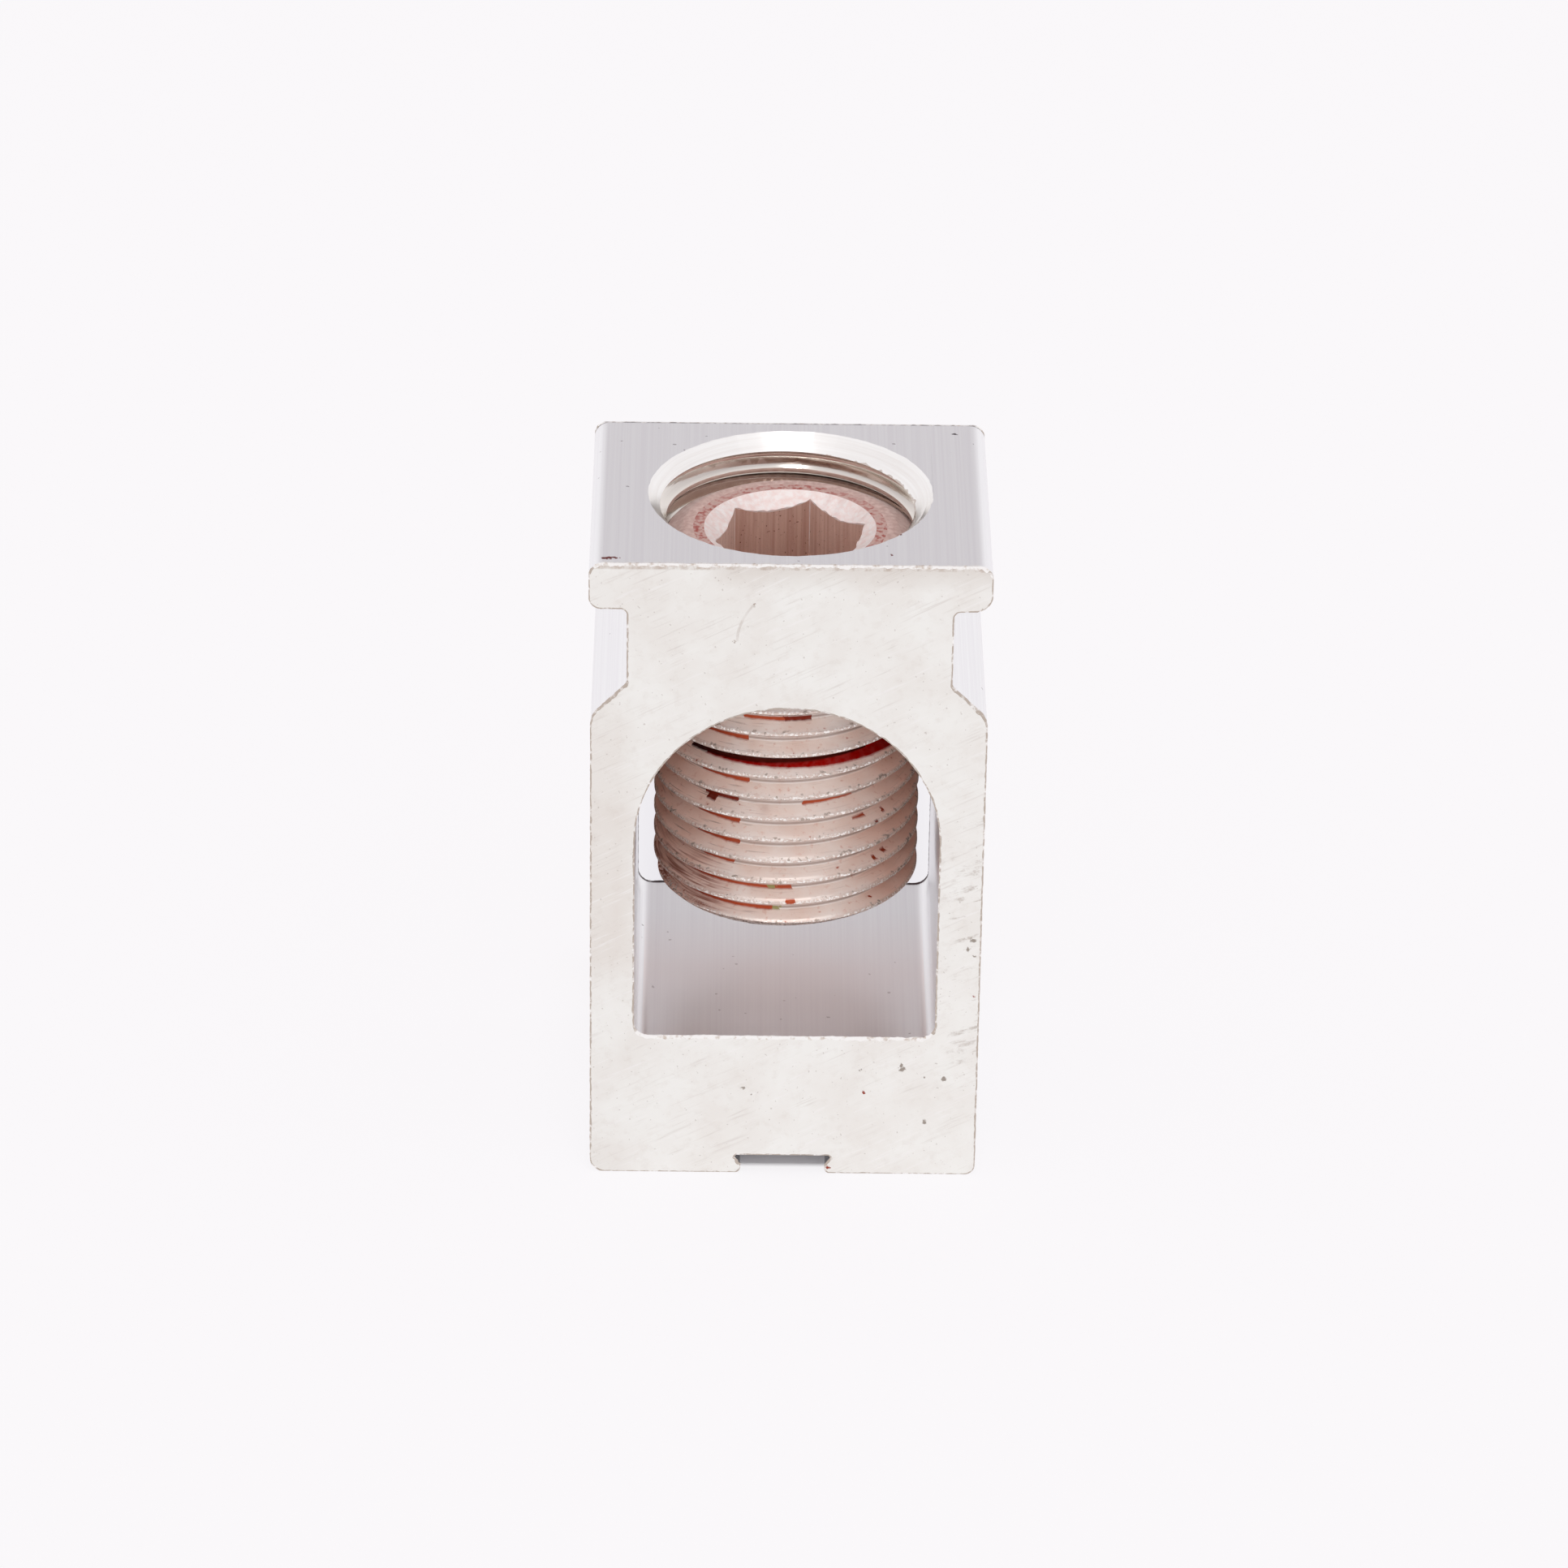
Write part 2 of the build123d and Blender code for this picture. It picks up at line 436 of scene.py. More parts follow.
def marked(tree, colour, place, marks):
    """A colour with small irregular marks: (place, radius, colour) in millimetres."""
    wobble = add(tree, NOISE, place, Scale=4.0, Detail=2.0)[1]
    shifted = add(tree, "ShaderNodeVectorMath", wobble, (0.5, 0.5, 0.5), operation="SUBTRACT")[0]
    shift = add(tree, "ShaderNodeVectorMath", shifted, Scale=0.45, operation="SCALE")[0]
    uneven = add(tree, "ShaderNodeVectorMath", place, shift, operation="ADD")[0]
    for centre, radius, tint in marks:
        away = add(tree, "ShaderNodeVectorMath", uneven, centre, operation="DISTANCE")[0]
        inside = add(tree, RANGE, away, radius, radius * 0.6)[0]
        colour = add(tree, MIX, inside, colour, linear(tint), data_type="RGBA")[0]
    return colour


def sawn_tin():
    """Sawn aluminium under tin plate: dull warm white, with slanted saw marks and dark specks."""
    material, tree, place, shader = new_metal("sawn_tin_plated_aluminium", 0.5)
    patches = add(tree, NOISE, place, Scale=0.35, Detail=4.0)[0]
    tone = add(tree, RANGE, patches, 0.35, 0.65)[0]
    plate = add(tree, MIX, tone, linear("#F3F0EB"), linear("#F8F7F3"), data_type="RGBA")[0]

    # The left-hand leg is painted a little darker at the front, as painted shade
    sideways, depth, height = add(tree, "ShaderNodeSeparateXYZ", place)
    at_front = add(tree, MATH, depth, 0.0, operation="LESS_THAN")[0]
    below_shoulder = add(tree, RANGE, height, leg_top + 1.2, leg_top - 1.4)[0]
    above_base = add(tree, RANGE, height, 13.4, 14.8)[0]
    far_left = add(tree, RANGE, sideways, -8.6, -10.0, 0.0, 0.22)[0]
    leg_height = add(tree, MATH, below_shoulder, above_base, operation="MULTIPLY")[0]
    left_leg = add(tree, MATH, leg_height, far_left, operation="MULTIPLY")[0]
    painted_leg_shade = add(tree, MATH, left_leg, at_front, operation="MULTIPLY")[0]
    plate = add(tree, MIX, painted_leg_shade, plate, linear("#D8C9BD"), data_type="RGBA")[0]

    # A thin tan line lies under the top edge's burr, and a soft painted shade fades down from it from
    # x -4 rightwards
    mottle = add(tree, NOISE, place, Scale=1.6, Detail=5.0, Roughness=0.7)[0]
    caught = add(tree, RANGE, mottle, 0.40, 0.62, 0.12, 0.7)[0]
    in_line = add(tree, RANGE, height, top_face - 0.42, top_face - 0.32)[0]
    line = add(tree, MATH, in_line, caught, operation="MULTIPLY")[0]
    # Painted shade under the top edge, strongest just below it
    shade = add(tree, RANGE, height, top_face - 1.7, top_face - 0.3, 0.0, 0.25)[0]
    to_right = add(tree, RANGE, sideways, -5.5, -3.5)[0]
    painted_shade_rightwards = add(tree, MATH, shade, to_right, operation="MULTIPLY")[0]
    painted_shade_at_front = add(tree, MATH, painted_shade_rightwards, at_front, operation="MULTIPLY")[0]
    tan_line_and_painted_shade = add(tree, MATH, line, painted_shade_at_front, operation="MAXIMUM")[0]
    plate = add(tree, MIX, tan_line_and_painted_shade, plate, linear("#BDA999"), data_type="RGBA")[0]

    # Saw marks 0.1 mm thick and some 6 mm long climb to the right, in patches
    slant = add(tree, "ShaderNodeMapping", place, Rotation=(0, math.radians(27), 0))[0]
    strokes = add(tree, "ShaderNodeMapping", slant, Scale=(0.3, 1, 6.5))[0]
    lines = add(tree, NOISE, strokes, Scale=1.0, Detail=3.0, Roughness=0.55)[0]
    where = add(tree, NOISE, slant, Scale=0.45, Detail=1.0)[0]
    scored = add(tree, RANGE, lines, 0.58, 0.72, 0.0, 0.24)[0]
    often = add(tree, RANGE, where, 0.42, 0.6)[0]
    score = add(tree, MATH, scored, often, operation="MULTIPLY")[0]
    lined = add(tree, MIX, score, plate, linear("#BFB2AA"), data_type="RGBA")[0]
    bright = add(tree, RANGE, lines, 0.40, 0.30, 0.0, 0.5)[0]
    polished = add(tree, MIX, bright, lined, linear("#FBF9F7"), data_type="RGBA")[0]

    # Short ragged tears about 1 mm apart, where the saw broke out at the right-hand edge
    tear_slant = add(tree, "ShaderNodeMapping", place, Rotation=(0, math.radians(15), 0))[0]
    tear_strokes = add(tree, "ShaderNodeMapping", tear_slant, Scale=(0.55, 1, 2.4))[0]
    tears = add(tree, NOISE, tear_strokes, Scale=1.0, Detail=5.0, Roughness=0.65)[0]
    near_edge = add(tree, RANGE, sideways, 8.8, 10.6, 0.0, 0.6)[0]
    from_middle = add(tree, MATH, height, 15.5, operation="SUBTRACT")[0]
    up_or_down = add(tree, MATH, from_middle, operation="ABSOLUTE")[0]
    beside_window = add(tree, RANGE, up_or_down, 11.5, 5.0)[0]
    broken = add(tree, RANGE, mottle, 0.40, 0.58)[0]
    tear = add(tree, RANGE, tears, 0.56, 0.66)[0]
    there = add(tree, MATH, near_edge, beside_window, operation="MULTIPLY")[0]
    ragged_tear = add(tree, MATH, tear, broken, operation="MULTIPLY")[0]
    torn = add(tree, MATH, ragged_tear, there, operation="MULTIPLY")[0]
    polished = add(tree, MIX, torn, polished, linear("#A8998D"), data_type="RGBA")[0]

    # A fine mottle, and specks of cutting dirt 0.1 mm across
    blotch = add(tree, RANGE, mottle, 0.52, 0.72, 0.0, 0.2)[0]
    mottled = add(tree, MIX, blotch, polished, linear("#D8CEC5"), data_type="RGBA")[0]
    dust = add(tree, NOISE, slant, Scale=4.5, Detail=1.0)[0]
    speck = add(tree, RANGE, dust, 0.72, 0.76, 0.0, 0.35)[0]
    specked = add(tree, MIX, speck, mottled, linear("#A89A90"), data_type="RGBA")[0]

    # A thin scratch 2.4 mm high curves over the neck
    rise = add(tree, MATH, height, 35.98, operation="SUBTRACT")[0]
    bend = add(tree, MATH, rise, rise, operation="MULTIPLY")[0]
    scratch_x = add(tree, MATH, bend, 0.165, -3.08, operation="MULTIPLY_ADD")[0]
    beside = add(tree, MATH, sideways, scratch_x, 0.08, operation="COMPARE")[0]
    along = add(tree, MATH, rise, 1.2, 1.2, operation="COMPARE")[0]
    scratch = add(tree, MATH, beside, along, operation="MULTIPLY")[0]
    scratch_strength = add(tree, RANGE, mottle, 0.35, 0.6, 0.08, 0.3)[0]
    in_front = add(tree, MATH, scratch, at_front, operation="MULTIPLY")[0]
    scratching = add(tree, MATH, in_front, scratch_strength, operation="MULTIPLY")[0]
    scratched = add(tree, MIX, scratching, specked, linear("#B8A89C"), data_type="RGBA")[0]

    # Pits and red specks where the photo shows them on the front
    grey, red, tan = "#A89E95", "#A04A3C", "#BDB0A6"
    pits = [
        (7.06, 7.30, 0.22, grey),
        (7.02, 7.62, 0.14, grey),
        (8.38, 6.80, 0.10, grey),
        (9.60, 6.70, 0.17, grey),
        (4.63, 7.26, 0.12, grey),
        (-2.40, 5.94, 0.15, grey),
        (-1.95, 5.49, 0.10, grey),
        (8.50, 3.63, 0.19, grey),
        (4.76, 5.68, 0.10, red),
        (11.25, 12.38, 0.13, red),
        (2.75, 0.40, 0.14, red),
        (11.10, 16.2, 0.20, grey),
        (10.85, 15.6, 0.16, grey),
        (11.2, 15.1, 0.14, grey),
        (-3.25, 35.95, 0.07, tan),
        (-2.10, 38.40, 0.08, tan),
    ]
    marks = [((x, -saw_face, z), radius, tint) for x, z, radius, tint in pits]
    finished = marked(tree, scratched, place, marks)
    tree.links.new(finished, shader.inputs["Base Color"])
    relief = add(tree, "ShaderNodeBump", Height=lines, Strength=0.08, Distance=0.01 * mm)[0]
    tree.links.new(relief, shader.inputs["Normal"])
    return material


def extruded_tin():
    """Extruded aluminium under tin plate: smooth, with faint die lines along the bar."""
    material, tree, place, shader = new_metal("extruded_tin_plated_aluminium", 0.38)
    # Die lines 0.1 mm apart run from end to end
    along = add(tree, "ShaderNodeMapping", place, Scale=(7, 0.03, 7))[0]
    lines = add(tree, NOISE, along, Scale=1.0, Detail=2.0)[0]
    tone = add(tree, RANGE, lines, 0.35, 0.65)[0]
    plate = add(tree, MIX, tone, linear("#F4F3F5"), linear("#F9F9FA"), data_type="RGBA")[0]
    dust = add(tree, NOISE, place, Scale=2.6, Detail=0.0)[0]
    speck = add(tree, RANGE, dust, 0.86, 0.88, 0.0, 0.6)[0]
    specked = add(tree, MIX, speck, plate, linear("#8F8688"), data_type="RGBA")[0]

    # The window's floor is painted a little pink under the screw and in front of it, as a painted
    # reflection of the copper screw
    _, from_middle, height = add(tree, "ShaderNodeSeparateXYZ", place)
    above_floor = add(tree, MATH, height, window_floor, 0.1, operation="COMPARE")[0]
    under_screw = add(tree, RANGE, from_middle, 6.0, -1.0, 0.0, 0.45)[0]
    paler_front = add(tree, RANGE, from_middle, -2.0, -8.0, 1.0, 0.5)[0]
    painted_screw_reflection = add(tree, MATH, under_screw, paler_front, operation="MULTIPLY")[0]
    painted_reflection_share = add(tree, MATH, above_floor, painted_screw_reflection, operation="MULTIPLY")[0]
    with_painted_reflection = add(tree, MIX, painted_reflection_share, specked, linear("#F6E6E2"), data_type="RGBA")[0]

    # A thin grey line of painted shade runs along the far edge, behind the saw's burr
    painted_edge_shade = add(tree, RANGE, from_middle, saw_face - 0.24, saw_face - 0.16, 0.0, 0.8)[0]
    edged = add(tree, MIX, painted_edge_shade, with_painted_reflection, linear("#544B4D"), data_type="RGBA")[0]

    # Smears and specks where the photo shows them on the top face
    rust, dark = "#7A3630", "#5C5458"
    smears = [
        ((-10.85, -8.86, top_face), 0.18, rust),
        ((-10.62, -8.84, top_face), 0.20, rust),
        ((-10.40, -8.82, top_face), 0.20, rust),
        ((-10.20, -8.80, top_face), 0.16, rust),
        ((-9.90, -8.86, top_face), 0.09, rust),
        ((5.81, -8.11, top_face), 0.14, rust),
        ((6.33, -5.46, top_face), 0.12, rust),
        ((9.82, 8.19, top_face), 0.14, dark),
    ]
    finished = marked(tree, edged, place, smears)
    tree.links.new(finished, shader.inputs["Base Color"])
    shine = add(tree, RANGE, lines, 0.3, 0.7, 0.36, 0.375)[0]
    tree.links.new(shine, shader.inputs["Roughness"])
    return material


def cut_aluminium():
    """Bare aluminium fresh from the countersink and tap: bright, with fine turning rings."""
    material, tree, place, shader = new_metal("machined_aluminium", 0.17)
    rings = add(tree, "ShaderNodeMapping", place, Scale=(0.12, 0.12, 9))[0]
    lines = add(tree, NOISE, rings, Scale=1.0, Detail=3.0, Roughness=0.6)[0]
    tone = add(tree, RANGE, lines, 0.35, 0.65)[0]
    metal = add(tree, MIX, tone, linear("#F3F0ED"), linear("#FBFAF8"), data_type="RGBA")[0]

    # Brown cutting grease is left below the countersink, in the thread
    height = add(tree, "ShaderNodeSeparateXYZ", place)[2]
    smear = add(tree, NOISE, place, Scale=1.6, Detail=3.0)[0]
    uneven = add(tree, MATH, smear, 0.5, height, operation="MULTIPLY_ADD")[0]
    below = add(tree, RANGE, uneven, top_face - 0.72, top_face - 0.82, 0.0, 0.8)[0]
    greased = add(tree, MIX, below, metal, linear("#E2DBD3"), data_type="RGBA")[0]
    rim = add(tree, MATH, uneven, top_face - 0.78, 0.05, operation="COMPARE")[0]
    edge = add(tree, MATH, rim, 0.45, operation="MULTIPLY")[0]
    edged = add(tree, MIX, edge, greased, linear("#A58A78"), data_type="RGBA")[0]
    tree.links.new(edged, shader.inputs["Base Color"])
    shine = add(tree, RANGE, height, top_face - 1.1, top_face - 1.05, 0.12, 0.28)[0]
    tree.links.new(shine, shader.inputs["Roughness"])
    relief = add(tree, "ShaderNodeBump", Height=lines, Strength=0.3, Distance=0.015 * mm)[0]
    tree.links.new(relief, shader.inputs["Normal"])
    return material


def torn_edge(name, dirt_and_shade_colour, clean):
    """The lip that the saw tears: bright bare metal, with a second colour in patches: tan on the
    bright edges, grey on the other edges, and dark painted shade under the burr.
    """
    material, tree, place, shader = new_metal(name, 0.3)
    dirt_and_shade_patches = add(tree, NOISE, place, Scale=3.0, Detail=3.0)[0]
    caught = add(tree, RANGE, dirt_and_shade_patches, clean, clean + 0.2)[0]
    colour = add(tree, MIX, caught, linear("#FDFBF8"), linear(dirt_and_shade_colour), data_type="RGBA")[0]
    tree.links.new(colour, shader.inputs["Base Color"])
    facets = add(tree, NOISE, place, Scale=9.0, Detail=2.0)[0]
    relief = add(tree, "ShaderNodeBump", Height=facets, Strength=0.4, Distance=0.03 * mm)[0]
    tree.links.new(relief, shader.inputs["Normal"])
    return material


SAWN, EXTRUDED, MACHINED, BRIGHT_EDGE, GREYER_EDGE, SHADED_BURR_ROOT = range(6)
lug.data.materials.clear()
lug.data.materials.append(sawn_tin())
lug.data.materials.append(extruded_tin())
lug.data.materials.append(cut_aluminium())
lug.data.materials.append(torn_edge("torn_saw_edge", "#D3C5B8", 0.52))
# Torn edges that don't face up are greyer
lug.data.materials.append(torn_edge("greyer_saw_edge", "#C2B6AB", 0.3))
# Dark grey painted shade under the saw's burr, where the lip overhangs the window
lug.data.materials.append(torn_edge("painted_shade_under_saw_burr", "#675E60", 0.2))
for face in lug.data.polygons:
    corners = [lug.data.vertices[i].co / mm for i in face.vertices]
    centre = face.center / mm
    in_reach = max(math.hypot(c.x, c.y) for c in corners) < countersink_radius + 0.02
    on_arch = all(abs(math.hypot(c.x, c.z - window_arch) - window_half) < 0.02 for c in corners)
    on_top = centre.z > top_face - 0.001
    near_floor = abs(centre.z - window_floor) < burr_reach
    on_sill = abs(centre.x) < window_half and near_floor and centre.y < 0
    if abs(centre.y) > saw_face - 0.001:
        face.material_index = SAWN
    elif abs(centre.y) > saw_face - burr_reach and (centre.z > top_face - burr_reach or on_sill):
        face.material_index = BRIGHT_EDGE
    # The other torn edges are greyer, and lip faces turned back into the window take the painted shade
    # under the burr
    elif abs(centre.y) > saw_face - burr_reach:
        beside = abs(centre.x) < window_half + burr_reach
        behind = beside and centre.z > window_floor - burr_reach
        face.material_index = SHADED_BURR_ROOT if behind and face.normal.y * centre.y < -0.3 else GREYER_EDGE
    elif in_reach and centre.z > window_arch and not on_top and not on_arch:
        face.material_index = MACHINED
    else:
        face.material_index = EXTRUDED
    face.use_smooth = True
lug.data.set_sharp_from_angle(angle=math.radians(28))


def sharpen_finishes(mesh):
    """Marks the edges between two finishes sharp, so that neither bends the other's light."""
    bm = bmesh.new()
    bm.from_mesh(mesh)
    for edge in bm.edges:
        if len({face.material_index for face in edge.link_faces}) > 1:
            edge.smooth = False
    bm.to_mesh(mesh)
    bm.free()


sharpen_finishes(lug.data)
for vertex in lug.data.vertices:
    reach = math.hypot(vertex.co.x, vertex.co.y) / mm
    if abs(reach - countersink_radius) < 0.01 and vertex.co.z / mm > top_face - 0.02:
        nick = 1 - 0.006 * noise.noise(vertex.co * 2600)
        vertex.co.x *= nick
        vertex.co.y *= nick
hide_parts("lug_body")
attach(lug, "lug")

# The clamp screw is a hex socket set screw of plated steel, threaded from end to end.
# The copper-coloured plating is worn pale, and red-brown deposits with square ends lie in
# the roots of the thread. The socket was punched in and has a countersunk mouth.

socket_flat = 7.9375 / 2
socket_corner = socket_flat / math.cos(math.radians(30))
socket_mouth = socket_corner + 0.52
socket_mouth_angle = math.radians(35)
socket_floor = screw_top - 9.5
socket_turn = math.radians(15)
drill_point_angle = math.radians(118)

tip_chamfer = 0.54
top_chamfer_width = 1.64
top_chamfer_angle = math.radians(30)
crest_wear = 0.9

screw = from_tree(
    "plated_clamp_screw",
    rod_tree,
    {
        "Crest Radius": screw_radius * mm,
        "Depth": thread_depth * mm,
        "Low": screw_tip * mm,
        "High": screw_top * mm,
        "Crest Height": crest_height * mm,
        "Tip Chamfer": tip_chamfer * mm,
        "Top Chamfer Width": top_chamfer_width * mm,
        "Top Chamfer Slope": 1 / math.tan(top_chamfer_angle),
        "Wear": crest_wear * mm,
        "Around": 240,
        "Rows per Pitch": 22,
    },
)


def hexagon_cutter():
    """The broach's form: a hexagon prism."""
    bm = bmesh.new()
    rings = []
    for height in (socket_floor, screw_top + 1):
        ring = []
        for corner in range(6):
            angle = socket_turn + math.tau * corner / 6
            x, y = socket_corner * math.cos(angle), socket_corner * math.sin(angle)
            ring.append(bm.verts.new((x * mm, y * mm, height * mm)))
        rings.append(ring)
    bm.faces.new(rings[0])
    bm.faces.new(rings[1])
    for i in range(6):
        bm.faces.new((rings[0][i - 1], rings[0][i], rings[1][i], rings[1][i - 1]))
    bmesh.ops.recalc_face_normals(bm, faces=bm.faces)
    mesh = bpy.data.meshes.new("hexagon_cutter")
    bm.to_mesh(mesh)
    bm.free()
    return mesh_object("hexagon_cutter", mesh)


point_depth = socket_flat / math.tan(drill_point_angle / 2)
drill_point = turned(
    "drill_point",
    [
        (0, socket_floor - point_depth),
        (socket_flat, socket_floor),
        (socket_flat, socket_floor + 0.5),
        (0, socket_floor + 0.5),
    ],
    steps=96,
)
mouth_slope = math.tan(socket_mouth_angle)
mouth = turned(
    "socket_mouth",
    [
        (0, screw_top - socket_mouth * mouth_slope),
        (socket_mouth + 1 / mouth_slope, screw_top + 1),
        (0, screw_top + 1),
    ],
)
cut(screw, hexagon_cutter(), drill_point, mouth)
screw.data.name = "plated_clamp_screw"

# The punch has left the socket's mouth ragged, with small burrs
for vertex in screw.data.vertices:
    reach = math.hypot(vertex.co.x, vertex.co.y) / mm
    if reach < socket_corner + 0.05 and vertex.co.z / mm > screw_top - 1:
        burr = noise.noise(vertex.co * 2200)
        vertex.co.x *= 1 - 0.022 * burr
        vertex.co.y *= 1 - 0.022 * burr
        vertex.co.z += 0.12 * mm * noise.noise(vertex.co * 3100)


def worn_copper_plate():
    """Worn copper-coloured plating on steel: pale pink, whiter on the crests with painted glints,
    browner in the roots, and painted browner on the sides as shade.
    """
    material, tree, place, shader = new_metal("worn_copper_plating", 0.55)
    shader.inputs["Specular Tint"].default_value = linear("#94705E")
    x, y, z = add(tree, "ShaderNodeSeparateXYZ", place)
    cloud = add(tree, NOISE, place, Scale=0.55, Detail=4.0)[0]
    fine = add(tree, NOISE, place, Scale=3.0, Detail=3.0)[0]
    tiny = add(tree, NOISE, place, Scale=7.0, Detail=2.0)[0]

    # Degrees round the screw, and turns of the thread: whole on a crest, half in a root
    radians_round = add(tree, MATH, y, x, operation="ARCTAN2")[0]
    degrees = add(tree, MATH, radians_round, 180 / math.pi, operation="MULTIPLY")[0]
    to_first = -crest_height / thread_pitch
    climbed = add(tree, MATH, z, 1 / thread_pitch, to_first, operation="MULTIPLY_ADD")[0]
    swept = add(tree, MATH, degrees, -1 / 360, -0.25, operation="MULTIPLY_ADD")[0]
    turns = add(tree, MATH, climbed, swept, operation="ADD")[0]
    wrapped = add(tree, MATH, turns, 0.5, -0.5, operation="WRAP")[0]
    off_crest = add(tree, MATH, wrapped, operation="ABSOLUTE")[0]

    # Distance from the screw's axis
    level = add(tree, "ShaderNodeCombineXYZ", x, y, 0.0)[0]
    reach = add(tree, "ShaderNodeVectorMath", level, operation="LENGTH")[0]
    below_root = screw_radius - thread_depth - 0.1
    outside = add(tree, MATH, reach, below_root, operation="GREATER_THAN")[0]

    # Plating, cloudy with wear
    tone = add(tree, RANGE, cloud, 0.35, 0.65)[0]
    colour = add(tree, MIX, tone, linear("#FAECE4"), linear("#FFF8F3"), data_type="RGBA")[0]
    blush = add(tree, RANGE, fine, 0.60, 0.72, 0.0, 0.35)[0]
    colour = add(tree, MIX, blush, colour, linear("#D9A591"), data_type="RGBA")[0]

    # Scratches that run round the thread, most at the left of the front
    wound = add(tree, "ShaderNodeCombineXYZ", degrees, turns, 0.0)[0]
    stretched = add(tree, "ShaderNodeMapping", wound, Scale=(0.05, 22, 1))[0]
    scratches = add(tree, NOISE, stretched, Scale=1.0, Detail=3.0)[0]
    at_left = add(tree, RANGE, degrees, -96.0, -108.0, 0.12, 0.45)[0]
    scratch = add(tree, RANGE, scratches, 0.60, 0.68)[0]
    scratched = add(tree, MATH, scratch, at_left, operation="MULTIPLY")[0]
    colour = add(tree, MIX, scratched, colour, linear("#8D7468"), data_type="RGBA")[0]

    # The plating is painted browner toward the sides, as painted shade, and so is brown behind too
    off_front = add(tree, MATH, degrees, 90.0, operation="ADD")[0]
    off_front = add(tree, MATH, off_front, 180.0, -180.0, operation="WRAP")[0]
    off_front = add(tree, MATH, off_front, operation="ABSOLUTE")[0]
    painted_side_shade = add(tree, RANGE, off_front, 25.0, 80.0, 0.0, 0.45)[0]
    colour = add(tree, MIX, painted_side_shade, colour, linear("#F0B898"), data_type="RGBA")[0]

    # Roots are darker, grey-brown
    in_root = add(tree, RANGE, off_crest, 0.40, 0.47, 0.0, 0.7)[0]
    colour = add(tree, MIX, in_root, colour, linear("#967B6F"), data_type="RGBA")[0]

    # Crests are dull, with grey chips along them and white worn spots that are also painted glints;
    # the tip's edge gets the same painted glints
    dull_crest = add(tree, RANGE, off_crest, 0.13, 0.06, 0.0, 0.7)[0]
    colour = add(tree, MIX, dull_crest, colour, linear("#DAC6BB"), data_type="RGBA")[0]
    on_crest = add(tree, RANGE, off_crest, 0.10, 0.05)[0]
    on_tip = add(tree, RANGE, z, screw_tip + 0.7, screw_tip + 0.5)[0]
    on_edge = add(tree, MATH, on_crest, on_tip, operation="MAXIMUM")[0]
    broken = add(tree, RANGE, tiny, 0.50, 0.60)[0]
    glint = add(tree, MATH, on_edge, broken, operation="MULTIPLY")[0]
    worn_white_and_painted_glint = add(tree, MATH, glint, outside, operation="MULTIPLY")[0]
    colour = add(tree, MIX, worn_white_and_painted_glint, colour, linear("#FBF6F1"), data_type="RGBA")[0]
    near_crest = add(tree, RANGE, off_crest, 0.17, 0.10)[0]
    chips = add(tree, RANGE, fine, 0.40, 0.35)[0]
    chipped = add(tree, MATH, near_crest, chips, operation="MULTIPLY")[0]
    colour = add(tree, MIX, chipped, colour, linear("#BCADA3"), data_type="RGBA")[0]

    # Flecks of rust
    fleck = add(tree, RANGE, fine, 0.73, 0.76)[0]
    colour = add(tree, MIX, fleck, colour, linear("#B2533A"), data_type="RGBA")[0]

    # A thin film of rust at the lower left
    low_turns = add(tree, RANGE, turns, 3.2, 1.6)[0]
    left_side = add(tree, RANGE, degrees, -114.0, -130.0)[0]
    film_spots = add(tree, RANGE, scratches, 0.44, 0.62, 0.0, 0.6)[0]
    film_place = add(tree, MATH, low_turns, left_side, operation="MULTIPLY")[0]
    film = add(tree, MATH, film_place, film_spots, operation="MULTIPLY")[0]
    colour = add(tree, MIX, film, colour, linear("#B0644B"), data_type="RGBA")[0]

    # Deposits in the roots, and one dark line that is partly painted shade: turn, from and to in
    # degrees, half widths there in turns, colour
    brown, deep, blood, dark_stain_and_root_shade, olive = "#B65334", "#842E1E", "#B00A02", "#45140D", "#A39C6A"
    deposits = [
        (9.47, -112, -90, 0.07, 0.09, brown),
        (9.47, -92, -79, 0.09, 0.10, deep),
        (8.47, -135, -109, 0.04, 0.10, brown),
        (7.40, -132, -35, 0.07, 0.22, blood),
        # This dark line is partly a dark stain and partly painted shade, the root's shadow line above
        # the red deposit
        (7.50, -142, -50, 0.16, 0.07, dark_stain_and_root_shade),
        (6.47, -135, -108.5, 0.03, 0.10, brown),
        (5.47, -133, -114, 0.07, 0.09, deep),
        (5.38, -130, -125, 0.10, 0.12, deep),
        (5.46, -82.5, -58, 0.08, 0.03, brown),
        (4.47, -138, -113, 0.03, 0.10, brown),
        (3.47, -138, -113, 0.03, 0.10, brown),
        (2.47, -134, -116, 0.03, 0.07, brown),
        (1.47, -146, -87, 0.04, 0.09, brown),
        (1.47, -99, -95.5, 0.08, 0.08, olive),
        (0.47, -146, -97, 0.04, 0.09, brown),
        (0.47, -97, -93, 0.08, 0.08, olive),
        (1.05, -89.5, -86.0, 0.09, 0.09, brown),
        (4.33, -58, -51, 0.02, 0.05, brown),
        (4.05, -49, -47, 0.04, 0.05, deep),
        (4.25, -42, -40, 0.05, 0.05, brown),
        (2.20, -48, -45.5, 0.06, 0.06, brown),
        (2.25, -40.5, -38, 0.05, 0.05, brown),
        (5.72, -103, -100, 0.05, 0.05, deep),
    ]
    sway = add(tree, MATH, fine, 0.04, turns, operation="MULTIPLY_ADD")[0]
    swayed_turns = add(tree, MATH, sway, 0.02, operation="SUBTRACT")[0]
    swayed_degrees = add(tree, MATH, fine, 5.0, degrees, operation="MULTIPLY_ADD")[0]
    patchy = add(tree, RANGE, fine, 0.35, 0.6, 0.96, 1.0)[0]
    for turn, first, last, narrow, wide, tint in deposits:
